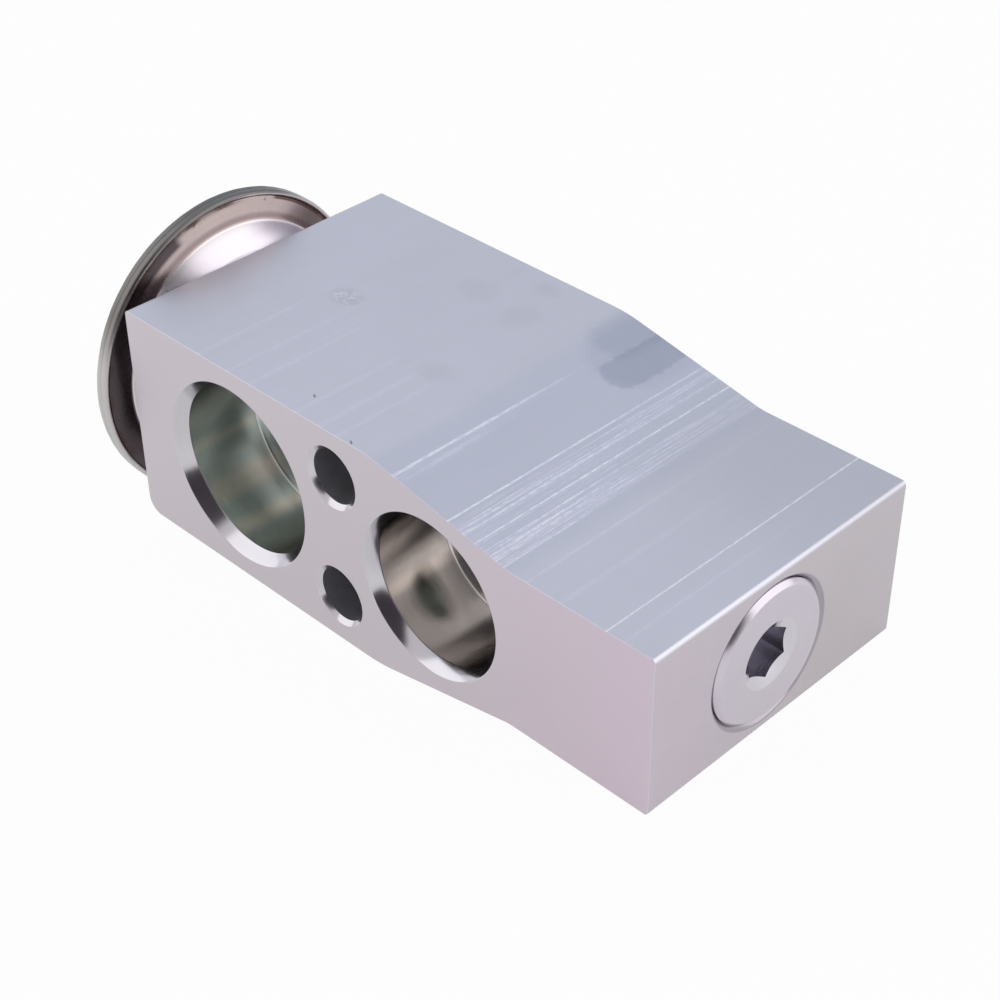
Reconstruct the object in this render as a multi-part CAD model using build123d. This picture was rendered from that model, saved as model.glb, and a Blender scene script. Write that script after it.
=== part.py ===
from build123d import *
import math
import os

# Block-type thermostatic expansion valve, in millimetres.
# X runs along the valve axis from the power head to the adjusting screw, Z is up and the
# connection face that takes the evaporator pipes looks along -Y. The origin is the middle of the
# two mounting holes on that face. Places along the valve axis are given from the head end of the block.

# Block
block_length = 72.0
block_depth = 35.3
wide_height = 25.2
narrow_height = 18.1
shoulder_start = 37.0
shoulder_end = 54.9
shoulder_bend_radius = 20.0
foot_bend_radius = 8.0
corner_radius = 0.5
lower_head_corner_radius = 1.8
face_edge_break = 0.2

# Valve axis
valve_axis_y = 16.0

# Mounting holes
hole_place = 31.3
hole_pitch = 14.4
hole_diameter = 6.0
hole_mouth_diameter = 6.8

# Connection ports, the same on both faces apart from the place of the liquid port
port_depth = 10.0
mouth_depth = 1.4
suction_place = 16.4
suction_bore_diameter = 18.8
suction_mouth_diameter = 20.7
suction_stop_width = 0.7
suction_stop_depth = 0.4
suction_passage_diameter = 12.5
liquid_out_place = 44.3
liquid_out_bore_diameter = 16.3
liquid_out_mouth_diameter = 17.8
liquid_in_bore_diameter = 14.4
liquid_in_mouth_diameter = 15.9
liquid_passage_diameter = 5.0
outlet_passage_overrun = 0.5

# Clearances
running_clearance = 0.04
assembly_clearance = 0.02
contact_clearance = 0.05
rest_clearance = 0.07

# How far a cut runs past the face it opens
cut_overrun = 1.0

# Travel
valve_stroke = 0.7

# Power head
neck_diameter = 18.0
neck_bore_diameter = 14.0
neck_length = 4.2
neck_lead = 0.5
head_opening_diameter = 9.6
head_seal_section = 1.4
head_seal_groove_depth = 1.3
shoulder_width = 2.7
rim_diameter = 35.6
rim_plane = -4.0
rim_sheet = 0.78
bead_radius = 0.4
weld_depth = 0.4
weld_crest_width = 0.1
weld_groove_width = 0.15
weld_groove_depth = 0.13
annulus_width = 2.95
lower_ring_place = -2.63
sheet_bend_radius = 0.6
cone_foot_width = 0.5
cone_foot_place = -0.7
lower_shell_wall = 0.8
bowl_floor_place = -1.9
bowl_diameter = 22.8
diaphragm_thickness = 0.2
diaphragm_ripple_height = 0.3
diaphragm_ripples = 2
diaphragm_ripple_inner_gap = 0.4
diaphragm_ripple_outer_gap = 0.2
dome_height = 3.6
dome_rim_width = 2.0
dome_slope_width = 4.3
dome_wall = 0.8
dome_bend_radius = 1.5
charge_hole_diameter = 3.0
charge_plug_head_diameter = 4.6
charge_plug_head_height = 0.9
charge_plug_length = 2.2
charge_plug_crown_share = 0.45
charge_plug_side_share = 0.85
charge_plug_side_height_share = 0.6

# Stop plate and sensing rod
stop_plate_diameter = 22.0
stop_boss_diameter = 10.0
stop_boss_length = 4.0
rod_diameter = 6.0
rod_socket_depth = 3.4
rod_bore_end_place = 31.0
rod_end_gap = 1.4
rod_ease = 0.3
sleeve_wall = 0.8
sleeve_start_place = 2.2
sleeve_end_place = 21.7

# Rod seal
rod_seal_section = 1.5
seal_recess_end_place = 25.6
washer_thickness = 0.5
push_nut_thickness = 0.4
push_nut_teeth = 6
push_nut_slot = 0.7
push_nut_slot_reach = 0.15

# Push pin, seat and ball
pin_diameter = 2.4
pin_socket_depth = 1.6
pin_ease = 0.2
outlet_chamber_diameter = 4.8
outlet_chamber_overshoot = 1.5
seat_diameter = 8.0
seat_length = 2.4
outlet_to_seat = 0.1
seat_to_inlet = 0.4
orifice_diameter = 3.2
seat_mouth_diameter = 5.0
ball_diameter = 4.8

# Spring chamber
chamber_diameter = 10.0
chamber_to_screw_end = 13.5
carrier_flange_diameter = 8.6
carrier_flange_thickness = 1.2
carrier_nose_diameter = 6.4
carrier_pilot_diameter = 5.2
carrier_pilot_length = 2.6
carrier_pilot_ease = 0.4
carrier_grip_gap = 1.9
carrier_nose_length = 2.2
ring_sheet = 0.3
ring_legs = 3
ring_leg_width = 2.0
ring_leg_length = 3.4
ring_leg_root = 0.1
spring_wire = 1.25
spring_outside_diameter = 8.4
spring_active_turns = 4.0
spring_end_turns = 1.0
spring_end_pitch = 1.42
spring_ground_share = 0.35
spring_steps_per_turn = 16

# Adjusting screw
screw_face_proud = 0.25
screw_thread_diameter = 15.0
screw_face_diameter = 14.1
screw_seat_mouth_diameter = 16.0
screw_nose_diameter = 13.1
screw_bore_diameter = 13.2
screw_bore_to_end = 7.0
screw_nose_to_end = 11.0
screw_thread_to_end = 4.8
screw_pocket_diameter = 9.0
screw_pocket_to_end = 6.0
screw_relief = 0.4
screw_relief_run = 0.3
screw_seal_section = 1.02
screw_seal_groove_width = 1.4
screw_seal_groove_to_end = 10.0
hex_across_flats = 5.05
hex_depth = 4.3
hex_mouth_diameter = 7.2
hex_mouth_depth = 0.38

# Places along the axis that follow from the sizes above
head_face_x = -hole_place
rod_end_place = rod_bore_end_place - rod_end_gap
seat_place = liquid_out_place + liquid_passage_diameter / 2 + outlet_to_seat
seat_end_place = seat_place + seat_length
liquid_in_place = seat_end_place + liquid_passage_diameter / 2 + seat_to_inlet
carrier_grip_place = seat_end_place + carrier_grip_gap
carrier_flange_place = carrier_grip_place + carrier_nose_length
chamber_end_place = block_length - chamber_to_screw_end
screw_nose_place = block_length - screw_nose_to_end
screw_seal_groove_place = block_length - screw_seal_groove_to_end
screw_bore_end_place = block_length - screw_bore_to_end
screw_pocket_end_place = block_length - screw_pocket_to_end
screw_thread_place = block_length - screw_thread_to_end


def at(place):
    """X of a place measured from the head end of the block."""
    return head_face_x + place


def turned(points, bends=()):
    """Solid of revolution about the valve axis from (place, radius) points.

    Each bend is a corner's (place, radius) with the rounding it gets.
    """
    outline = [(at(place), valve_axis_y + radius) for place, radius in points]
    face = make_face(Polyline(*outline, close=True))
    for (place, radius), rounding in bends:
        corner = face.vertices().sort_by_distance((at(place), valve_axis_y + radius))[0]
        face = fillet(corner, rounding)
    return revolve(face, Axis((0, valve_axis_y, 0), (1, 0, 0)), 360)


def ring_seal(place, mean_radius, section):
    """Round-section seal ring centred on a place on the valve axis."""
    torus = Torus(mean_radius, section / 2)
    return Pos(at(place), valve_axis_y, 0) * Rot(0, 90, 0) * torus


def cross_turned(place, z, points):
    """Solid of revolution about a line along Y through a place, from (y, radius) points."""
    outline = [(at(place) + radius, y) for y, radius in points]
    face = make_face(Polyline(*outline, close=True))
    return Pos(0, 0, z) * revolve(face, Axis((at(place), 0, 0), (0, 1, 0)), 360)


def block_blank():
    """Extruded bar section, wide at the head and narrow at the screw, cut to length along Y."""
    wide = wide_height / 2
    narrow = narrow_height / 2
    outline = Polyline(
        (at(0), -wide),
        (at(shoulder_start), -wide),
        (at(shoulder_end), -narrow),
        (at(block_length), -narrow),
        (at(block_length), narrow),
        (at(shoulder_end), narrow),
        (at(shoulder_start), wide),
        (at(0), wide),
        close=True,
    )
    section = make_face(outline)
    rounded = [
        ((at(shoulder_start), -wide), shoulder_bend_radius),
        ((at(shoulder_start), wide), shoulder_bend_radius),
        ((at(shoulder_end), -narrow), foot_bend_radius),
        ((at(shoulder_end), narrow), foot_bend_radius),
        ((at(0), -wide), lower_head_corner_radius),
        ((at(0), wide), corner_radius),
        ((at(block_length), -narrow), corner_radius),
        ((at(block_length), narrow), corner_radius),
    ]
    for (x, y), radius in rounded:
        corner = section.vertices().sort_by_distance((x, y))[0]
        section = fillet(corner, radius)
    blank = extrude(Plane.XZ * section, -block_depth)
    rims = blank.faces().filter_by(Axis.Y).edges()
    return chamfer(rims, face_edge_break)


def port_cut(place, mouth_diameter, bore_diameter, stop_width, stop_depth):
    """Counterbore of a pipe port on the -Y face, with its wide lead-in and, if it has one, a pipe stop."""
    mouth = mouth_diameter / 2
    bore = bore_diameter / 2
    inner = bore - stop_width
    floor = port_depth + stop_depth
    points = [(-cut_overrun, 0), (-cut_overrun, mouth), (0, mouth), (mouth_depth, bore), (port_depth, bore)]
    if stop_depth > 0:
        points += [(port_depth, inner), (floor, inner)]
    points += [(floor, 0)]
    return cross_turned(place, 0, points)


def to_rear(solid):
    """Copy of a cut on the -Y face, moved to the +Y face."""
    return mirror(solid, Plane.XZ.offset(-block_depth / 2))


def passage(place, radius, start, end):
    """Plain bore along Y between two places in the block's depth."""
    return cross_turned(place, 0, [(start, 0), (start, radius), (end, radius), (end, 0)])


def port_cuts():
    """All four pipe ports with the passages behind them."""
    suction = port_cut(
        suction_place, suction_mouth_diameter, suction_bore_diameter, suction_stop_width, suction_stop_depth
    )
    start = port_depth - cut_overrun
    end = block_depth - port_depth + cut_overrun
    liquid_out = port_cut(liquid_out_place, liquid_out_mouth_diameter, liquid_out_bore_diameter, 0, 0)
    liquid_in = port_cut(liquid_in_place, liquid_in_mouth_diameter, liquid_in_bore_diameter, 0, 0)
    suction_radius = suction_passage_diameter / 2
    liquid_radius = liquid_passage_diameter / 2
    outlet_end = valve_axis_y + liquid_radius + outlet_passage_overrun
    through = passage(suction_place, suction_radius, start, end)
    outlet = passage(liquid_out_place, liquid_radius, start, outlet_end)
    inlet = passage(liquid_in_place, liquid_radius, valve_axis_y, end)
    return [suction, to_rear(suction), liquid_out, to_rear(liquid_in), through, outlet, inlet]


def mounting_hole_cuts():
    """Two through holes, eased at both faces."""
    radius = hole_diameter / 2
    mouth = hole_mouth_diameter / 2
    ease = mouth - radius
    points = [
        (-cut_overrun, 0),
        (-cut_overrun, mouth),
        (0, mouth),
        (ease, radius),
        (block_depth - ease, radius),
        (block_depth, mouth),
        (block_depth + cut_overrun, mouth),
        (block_depth + cut_overrun, 0),
    ]
    return [cross_turned(hole_place, side * hole_pitch / 2, points) for side in (-1, 1)]


def head_bore_cut():
    """Seal groove, neck thread bore and the opening from the head to the suction passage."""
    thread = neck_diameter / 2 + assembly_clearance
    groove = thread + head_seal_section + contact_clearance
    opening = head_opening_diameter / 2
    bottom = neck_length + neck_lead
    return turned(
        [
            (-cut_overrun, 0),
            (-cut_overrun, groove),
            (head_seal_groove_depth, groove),
            (head_seal_groove_depth, thread),
            (bottom, thread),
            (bottom, opening),
            (suction_place, opening),
            (suction_place, 0),
        ]
    )


def rod_bore_cut():
    """Recess for the rod seal, the rod's guide bore and the push pin's guide bore."""
    recess = rod_diameter / 2 + rod_seal_section + contact_clearance
    guide = rod_diameter / 2 + running_clearance
    pin = pin_diameter / 2 + running_clearance
    return turned(
        [
            (suction_place, 0),
            (suction_place, recess),
            (seal_recess_end_place, recess),
            (seal_recess_end_place, guide),
            (rod_bore_end_place, guide),
            (rod_bore_end_place, pin),
            (seat_place, pin),
            (seat_place, 0),
        ]
    )


def screw_bore_cut():
    """Outlet chamber, seat pocket, spring chamber, seal bore and thread bore, from the screw end."""
    outlet = outlet_chamber_diameter / 2
    outlet_start = liquid_out_place - outlet_chamber_overshoot
    pocket = seat_diameter / 2 + assembly_clearance
    chamber = chamber_diameter / 2
    seal_bore = screw_bore_diameter / 2
    thread = screw_thread_diameter / 2 + running_clearance
    mouth = screw_seat_mouth_diameter / 2
    return turned(
        [
            (outlet_start, 0),
            (outlet_start, outlet),
            (seat_place, outlet),
            (seat_place, pocket),
            (seat_end_place, pocket),
            (seat_end_place, chamber),
            (chamber_end_place, chamber),
            (chamber_end_place, seal_bore),
            (screw_bore_end_place, seal_bore),
            (screw_bore_end_place, thread),
            (block_length - (mouth - thread), thread),
            (block_length, mouth),
            (block_length + cut_overrun, mouth),
            (block_length + cut_overrun, 0),
        ]
    )


def valve_body():
    """Aluminium block with every bore and port."""
    body = block_blank()
    for cut in port_cuts() + mounting_hole_cuts() + [head_bore_cut(), rod_bore_cut(), screw_bore_cut()]:
        body -= cut
    return body


def lower_shell():
    """Lower half of the power head: threaded neck, bowl, pressed ring and welded rim."""
    neck = neck_diameter / 2
    bore = neck_bore_diameter / 2
    shoulder = neck + shoulder_width
    rim = rim_diameter / 2
    ring = rim - annulus_width
    crest = rim - bead_radius - weld_crest_width
    groove = crest - weld_groove_width
    under = rim_plane + diaphragm_thickness / 2
    front = under + rim_sheet
    wall = lower_shell_wall
    inner_ring = (lower_ring_place - wall, ring - wall / 2)
    bowl_edge = (bowl_floor_place, bowl_diameter / 2)
    return turned(
        [
            (neck_length, bore),
            (neck_length, neck - neck_lead),
            (neck_length - neck_lead, neck),
            (0, neck),
            (0, shoulder),
            (cone_foot_place, shoulder + cone_foot_width),
            (lower_ring_place, ring),
            (front - weld_groove_depth, groove),
            (front, crest),
            (front, rim),
            (under, rim),
            (under, groove),
            inner_ring,
            bowl_edge,
            (bowl_floor_place, bore),
        ],
        [
            ((lower_ring_place, ring), sheet_bend_radius),
            ((front, rim), bead_radius),
            (inner_ring, sheet_bend_radius),
            (bowl_edge, sheet_bend_radius),
        ],
    )


def upper_shell():
    """Upper half of the power head: welded rim and low dome with the charging hole."""
    rim = rim_diameter / 2
    over = rim_plane - diaphragm_thickness / 2
    back = over - rim_sheet
    top = rim_plane - dome_height
    foot = rim - dome_rim_width
    crown = foot - dome_slope_width
    hole = charge_hole_diameter / 2
    inner_crown = (top + dome_wall, crown - dome_wall / 2)
    return turned(
        [
            (over, rim),
            (back, rim),
            (back, foot),
            (top, crown),
            (top, hole),
            (top + dome_wall, hole),
            inner_crown,
            (over, foot - dome_wall),
        ],
        [
            ((back, rim), bead_radius),
            ((back, foot), sheet_bend_radius),
            ((top, crown), dome_bend_radius),
            (inner_crown, dome_bend_radius - dome_wall),
        ],
    )


def diaphragm():
    """Thin disc with concentric ripples, clamped between the two shells at their rim."""
    edge = rim_diameter / 2 - weld_depth
    half = diaphragm_thickness / 2
    upper = [(rim_plane - half, 0)]
    lower = [(rim_plane + half, 0)]
    start = stop_plate_diameter / 2 + diaphragm_ripple_inner_gap
    end = rim_diameter / 2 - dome_rim_width - dome_wall - diaphragm_ripple_outer_gap
    steps = diaphragm_ripples * 4
    step = (end - start) / steps
    for i in range(steps + 1):
        rise = -diaphragm_ripple_height * (1 - math.cos(i * math.pi / 2)) / 2
        upper.append((rim_plane - half + rise, start + i * step))
        lower.append((rim_plane + half + rise, start + i * step))
    upper.append((rim_plane - half, edge))
    lower.append((rim_plane + half, edge))
    return turned(upper + lower[::-1])


def stop_plate():
    """Plate under the diaphragm, with a boss that grips the top of the sensing rod."""
    top = rim_plane + diaphragm_thickness / 2 + contact_clearance
    under = bowl_floor_place - valve_stroke - contact_clearance
    boss = stop_boss_diameter / 2
    socket = rod_diameter / 2 + assembly_clearance
    end = under + stop_boss_length
    return turned(
        [
            (top, 0),
            (top, stop_plate_diameter / 2),
            (under, stop_plate_diameter / 2),
            (under, boss),
            (end, boss),
            (end, socket),
            (end - rod_socket_depth, socket),
            (end - rod_socket_depth, 0),
        ]
    )


def rod_top_place():
    """Place of the sensing rod's top, at the bottom of the stop plate's socket."""
    return bowl_floor_place - valve_stroke - contact_clearance + stop_boss_length - rod_socket_depth


def charge_plug():
    """Pin that closes the charging hole, with a domed head outside the shell."""
    top = rim_plane - dome_height
    hole = charge_hole_diameter / 2 - assembly_clearance
    head = charge_plug_head_diameter / 2
    end = top - charge_plug_head_height + charge_plug_length
    return turned(
        [
            (top - charge_plug_head_height, 0),
            (top - charge_plug_head_height, head * charge_plug_crown_share),
            (top - charge_plug_head_height * charge_plug_side_height_share, head * charge_plug_side_share),
            (top, head),
            (top, hole),
            (end, hole),
            (end, 0),
        ]
    )


def head_seal():
    """Seal ring between the head's shoulder and the block."""
    mean = neck_diameter / 2 + assembly_clearance + head_seal_section / 2
    section = min(head_seal_section, head_seal_groove_depth)
    return ring_seal(head_seal_groove_depth / 2, mean, section - assembly_clearance)


def sensing_rod():
    """Solid rod from the stop plate through the suction passage to the push pin."""
    radius = rod_diameter / 2
    socket = pin_diameter / 2 + assembly_clearance
    return turned(
        [
            (rod_top_place(), 0),
            (rod_top_place(), radius - rod_ease),
            (rod_top_place() + rod_ease, radius),
            (rod_end_place - rod_ease, radius),
            (rod_end_place, radius - rod_ease),
            (rod_end_place, socket),
            (rod_end_place - pin_socket_depth, socket),
            (rod_end_place - pin_socket_depth, 0),
        ]
    )


def rod_sleeve():
    """Plastic sleeve round the rod where the suction gas passes it."""
    inner = rod_diameter / 2 + assembly_clearance
    outer = inner + sleeve_wall
    return turned(
        [
            (sleeve_start_place, inner),
            (sleeve_start_place, outer),
            (sleeve_end_place, outer),
            (sleeve_end_place, inner),
        ]
    )


def rod_seal_place():
    """Place of the middle of the rod's seal ring."""
    return seal_recess_end_place - rod_seal_section / 2


def rod_seal():
    """Seal ring round the rod, between the suction and liquid sides."""
    inner = rod_diameter / 2 + running_clearance
    return ring_seal(rod_seal_place(), inner + rod_seal_section / 2, rod_seal_section)


def backup_washer():
    """Flat washer on the rod seal."""
    end = seal_recess_end_place - rod_seal_section
    inner = rod_diameter / 2 + 2 * running_clearance
    outer = rod_diameter / 2 + rod_seal_section
    return turned(
        [(end - washer_thickness, inner), (end - washer_thickness, outer), (end, outer), (end, inner)]
    )


def push_nut():
    """Sprung retaining ring with teeth, above the washer."""
    end = seal_recess_end_place - rod_seal_section - washer_thickness
    start = end - push_nut_thickness
    inner = rod_diameter / 2 + 4 * running_clearance
    outer = rod_diameter / 2 + rod_seal_section
    ring = turned([(start, inner), (start, outer), (end, outer), (end, inner)])
    for i in range(push_nut_teeth):
        slot = Box(3 * push_nut_thickness, outer - inner, push_nut_slot)
        slot = Pos(at((start + end) / 2), inner + push_nut_slot_reach, 0) * slot
        slot = slot.rotate(Axis.X, 360 * i / push_nut_teeth)
        ring -= Pos(0, valve_axis_y, 0) * slot
    return ring


def seat_apex_place():
    """Place of the point of the seat's 45 degree cone."""
    return seat_end_place - seat_mouth_diameter / 2


def orifice_seat():
    """Pressed-in seat with the orifice and the cone that the ball closes."""
    outer = seat_diameter / 2
    orifice = orifice_diameter / 2
    return turned(
        [
            (seat_place, orifice),
            (seat_place, outer),
            (seat_end_place, outer),
            (seat_end_place, seat_mouth_diameter / 2),
            (seat_apex_place() + orifice, orifice),
        ]
    )


def ball_place():
    """Place of the ball's centre with the valve closed."""
    return seat_apex_place() + ball_diameter / 2 * math.sqrt(2) + rest_clearance


def valve_ball():
    """Ball that meters the refrigerant."""
    return Pos(at(ball_place()), valve_axis_y, 0) * Sphere(ball_diameter / 2)


def push_pin():
    """Thin pin that carries the rod's movement to the ball."""
    radius = pin_diameter / 2
    start = rod_end_place - pin_socket_depth
    end = ball_place() - ball_diameter / 2 - assembly_clearance
    return turned(
        [
            (start, 0),
            (start, radius - pin_ease),
            (start + pin_ease, radius),
            (end - pin_ease, radius),
            (end, radius - pin_ease),
            (end, 0),
        ]
    )


def ball_carrier():
    """Carrier with a cup for the ball, a flange for the spring and a pilot inside it."""
    nose = carrier_nose_diameter / 2
    flange = carrier_flange_diameter / 2
    pilot = carrier_pilot_diameter / 2
    flange_end = carrier_flange_place + carrier_flange_thickness
    pilot_end = flange_end + carrier_pilot_length
    cup = ball_diameter / 2 + assembly_clearance
    lip = math.sqrt(cup**2 - (carrier_grip_place - ball_place()) ** 2)
    rim = (at(carrier_grip_place), valve_axis_y + lip)
    bottom = (at(ball_place() + cup), valve_axis_y)
    outside = [
        (carrier_grip_place, lip),
        (carrier_grip_place, nose),
        (carrier_flange_place, nose),
        (carrier_flange_place, flange),
        (flange_end, flange),
        (flange_end, pilot),
        (pilot_end - carrier_pilot_ease, pilot),
        (pilot_end, pilot - carrier_pilot_ease),
        (pilot_end, 0),
        (ball_place() + cup, 0),
    ]
    profile = Polyline(*[(at(place), valve_axis_y + radius) for place, radius in outside])
    profile += RadiusArc(bottom, rim, -cup)
    return revolve(make_face(profile), Axis((0, valve_axis_y, 0), (1, 0, 0)), 360)


def damping_ring():
    """Sheet ring under the carrier's flange with sprung legs that rub on the chamber wall."""
    start = carrier_flange_place + carrier_flange_thickness
    inner = carrier_pilot_diameter / 2 + 3 * assembly_clearance
    wall = chamber_diameter / 2 - contact_clearance
    legs_inner = wall - ring_sheet
    ring = turned(
        [(start, inner), (start, legs_inner), (start + ring_sheet, legs_inner), (start + ring_sheet, inner)]
    )
    sleeve = turned(
        [
            (start + ring_sheet - ring_leg_length, legs_inner),
            (start + ring_sheet - ring_leg_length, wall),
            (start + ring_sheet, wall),
            (start + ring_sheet, legs_inner - ring_leg_root),
            (start, legs_inner - ring_leg_root),
            (start, legs_inner),
        ]
    )
    legs = []
    for i in range(ring_legs):
        keep = Box(3 * ring_leg_length, chamber_diameter, ring_leg_width)
        keep = Pos(at(start), chamber_diameter / 2, 0) * keep
        keep = Pos(0, valve_axis_y, 0) * keep.rotate(Axis.X, 60 + 360 * i / ring_legs)
        legs.append(sleeve & keep)
    for leg in legs:
        ring += leg
    return ring


def valve_spring():
    """Compression spring with closed and ground ends, from the damping ring to the screw's pocket."""
    start = carrier_flange_place + carrier_flange_thickness + ring_sheet
    end = screw_pocket_end_place
    wire = spring_wire / 2
    mean = spring_outside_diameter / 2 - wire
    ground = spring_wire * spring_ground_share
    height = end - start - 2 * (wire - ground)
    closed = spring_end_pitch * spring_end_turns
    active = height - 2 * closed
    points = []
    turns = spring_active_turns + 2 * spring_end_turns
    steps = round(turns * spring_steps_per_turn)
    for i in range(steps + 1):
        turn = turns * i / steps
        share = (turn - spring_end_turns) / spring_active_turns
        if share <= 0:
            rise = turn * spring_end_pitch
        elif share >= 1:
            rise = height - (turns - turn) * spring_end_pitch
        else:
            rise = closed + active * share
        angle = 2 * math.pi * turn
        x = at(start) + wire - ground + rise
        points.append((x, valve_axis_y + mean * math.cos(angle), mean * math.sin(angle)))
    path = Spline(*points)
    coil = sweep(Plane(path @ 0, z_dir=path % 0) * Circle(wire), path)
    room = Box(end - start, chamber_diameter, chamber_diameter)
    return coil & (Pos(at((start + end) / 2), valve_axis_y, 0) * room)


def adjusting_screw():
    """Threaded plug with a hexagon socket, a pocket for the spring and a groove for its seal."""
    pocket = screw_pocket_diameter / 2
    nose = screw_nose_diameter / 2
    groove = screw_bore_diameter / 2 - running_clearance - screw_seal_section - assembly_clearance
    groove_end = screw_seal_groove_place + screw_seal_groove_width
    thread = screw_thread_diameter / 2
    face = block_length + screw_face_proud
    face_radius = screw_face_diameter / 2
    mouth = hex_mouth_diameter / 2
    corner = hex_across_flats / math.sqrt(3)
    body = turned(
        [
            (screw_nose_place, pocket),
            (screw_nose_place, nose),
            (screw_seal_groove_place, nose),
            (screw_seal_groove_place, groove),
            (groove_end, groove),
            (groove_end, nose),
            (screw_bore_end_place, nose),
            (screw_bore_end_place + screw_relief_run, nose - screw_relief),
            (screw_thread_place, nose - screw_relief),
            (screw_thread_place, thread),
            (face - (thread - face_radius), thread),
            (face, face_radius),
            (face, 0),
            (screw_pocket_end_place, 0),
            (screw_pocket_end_place, pocket),
        ]
    )
    socket = extrude(Plane.YZ * RegularPolygon(corner, 6, rotation=30), -hex_depth)
    body -= Pos(at(face), valve_axis_y, 0) * socket
    slope = (mouth - corner) / hex_mouth_depth
    depth = mouth / slope
    body -= turned([(face - depth, 0), (face, mouth), (face + cut_overrun, mouth), (face + cut_overrun, 0)])
    return body


def screw_seal():
    """Seal ring in the adjusting screw's groove."""
    mean = screw_bore_diameter / 2 - running_clearance - screw_seal_section / 2
    place = screw_seal_groove_place + screw_seal_groove_width / 2
    return ring_seal(place, mean, screw_seal_section)


parts = {
    "valve_body": valve_body,
    "head_lower_shell": lower_shell,
    "head_upper_shell": upper_shell,
    "diaphragm": diaphragm,
    "stop_plate": stop_plate,
    "charge_plug": charge_plug,
    "head_seal": head_seal,
    "sensing_rod": sensing_rod,
    "rod_sleeve": rod_sleeve,
    "rod_seal": rod_seal,
    "backup_washer": backup_washer,
    "push_nut": push_nut,
    "push_pin": push_pin,
    "orifice_seat": orifice_seat,
    "valve_ball": valve_ball,
    "ball_carrier": ball_carrier,
    "damping_ring": damping_ring,
    "valve_spring": valve_spring,
    "adjusting_screw": adjusting_screw,
    "screw_seal": screw_seal,
}

os.makedirs("parts", exist_ok=True)
for name, make in parts.items():
    export_step(make(), f"parts/{name}.step")
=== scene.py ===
import math
import random

import bmesh
import bpy
from bpy.props import FloatProperty, FloatVectorProperty, PointerProperty
from mathutils import Matrix, Vector


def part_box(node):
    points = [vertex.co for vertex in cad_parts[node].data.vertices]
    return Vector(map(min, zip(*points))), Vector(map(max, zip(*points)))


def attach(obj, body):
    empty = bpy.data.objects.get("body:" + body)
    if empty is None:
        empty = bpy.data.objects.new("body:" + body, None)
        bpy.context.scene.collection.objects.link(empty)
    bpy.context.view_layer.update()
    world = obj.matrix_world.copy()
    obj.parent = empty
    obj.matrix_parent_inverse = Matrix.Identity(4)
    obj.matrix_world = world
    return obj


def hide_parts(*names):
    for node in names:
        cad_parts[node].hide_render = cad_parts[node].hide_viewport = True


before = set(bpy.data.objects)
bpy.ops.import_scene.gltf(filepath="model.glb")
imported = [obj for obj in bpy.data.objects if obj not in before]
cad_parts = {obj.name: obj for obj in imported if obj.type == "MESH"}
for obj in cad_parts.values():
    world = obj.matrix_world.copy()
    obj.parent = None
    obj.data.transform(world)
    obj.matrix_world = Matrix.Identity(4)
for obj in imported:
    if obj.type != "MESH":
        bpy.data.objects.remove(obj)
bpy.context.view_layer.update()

bl_info = {
    "name": "Block expansion valve",
    "version": (1, 0, 0),
    "blender": (4, 5, 0),
    "location": "3D View > Sidebar > Valve",
    "description": "Builds the machined block, power head and screw, and gives each piece its finish",
    "category": "Object",
}

MM = 0.001
BLOCK_LOW, BLOCK_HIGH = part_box("valve_body")
SCREW_LOW, SCREW_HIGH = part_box("adjusting_screw")
RIM_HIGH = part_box("head_lower_shell")[1]
HEAD_END = BLOCK_LOW[0] / MM
SCREW_END = BLOCK_HIGH[0] / MM
BLOCK_DEPTH = BLOCK_HIGH[1] / MM
WIDE = BLOCK_HIGH[2] / MM
AXIS_Y = (SCREW_LOW[1] + SCREW_HIGH[1]) / 2 / MM
SCREW_FACE = SCREW_HIGH[0] / MM
SCREW_RADIUS = (SCREW_HIGH[2] - SCREW_LOW[2]) / 2 / MM
RIM_RADIUS = RIM_HIGH[2] / MM

# Block sizes in millimetres, with places along X measured from the head end
NARROW = 9.05
SHOULDER = (37.0, 54.9)
SHOULDER_RADII = (20.0, 8.0)
CORNER_RADIUS = 0.5
LOWER_HEAD_CORNER_RADIUS = 1.8
EDGE_BREAK = 0.05
HOLE_PLACE = 31.3
HOLE_HALF_PITCH = 7.2
HOLE_RADIUS = 3.0
HOLE_MOUTH_RADIUS = 3.4
HOLE_EASE = 0.05
PORT_DEPTH = 10.0
MOUTH_DEPTH = 1.4
MOUTH_EASE = 0.06
FLOOR_ROUND = 0.2
# How far a cutter stands out of the block, and how deep in a port a passage's cutter starts
PROUD = 1.0
PASSAGE_START = 1.0

# Ports as place, mouth radius and bore radius, and the suction port's stop as radius and depth
SUCTION = (16.4, 10.35, 9.4)
SUCTION_STOP = (8.7, 10.4)
SUCTION_PASSAGE = 6.25
LIQUID_OUT = (44.3, 8.9, 8.15)
LIQUID_IN = (52.2, 7.95, 7.2)
LIQUID_PASSAGE = 2.5
OUTLET_PAST_AXIS = 3.0

# Bores along the valve axis in steps of start, end and radius, and the screw bore's mouth as points
NECK_BORE = ((-PROUD, 1.3, 10.47), (1.3, 4.7, 9.02), (4.7, 16.4, 4.8))
ROD_BORE = ((16.4, 25.6, 4.55), (25.6, 31.0, 3.04), (31.0, 46.9, 1.24))
SPRING_CHAMBER = ((42.8, 46.9, 2.4), (46.9, 49.3, 4.02), (49.3, 58.5, 5.0))
SCREW_BORE = ((58.5, 65.0, 6.6), (65.0, 71.54, 7.54))
SCREW_MOUTH_RADIUS = 8.06
SCREW_MOUTH = ((71.95, 7.95), (72.0, SCREW_MOUTH_RADIUS), (73.0, SCREW_MOUTH_RADIUS), (73.0, 0.0))

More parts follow.
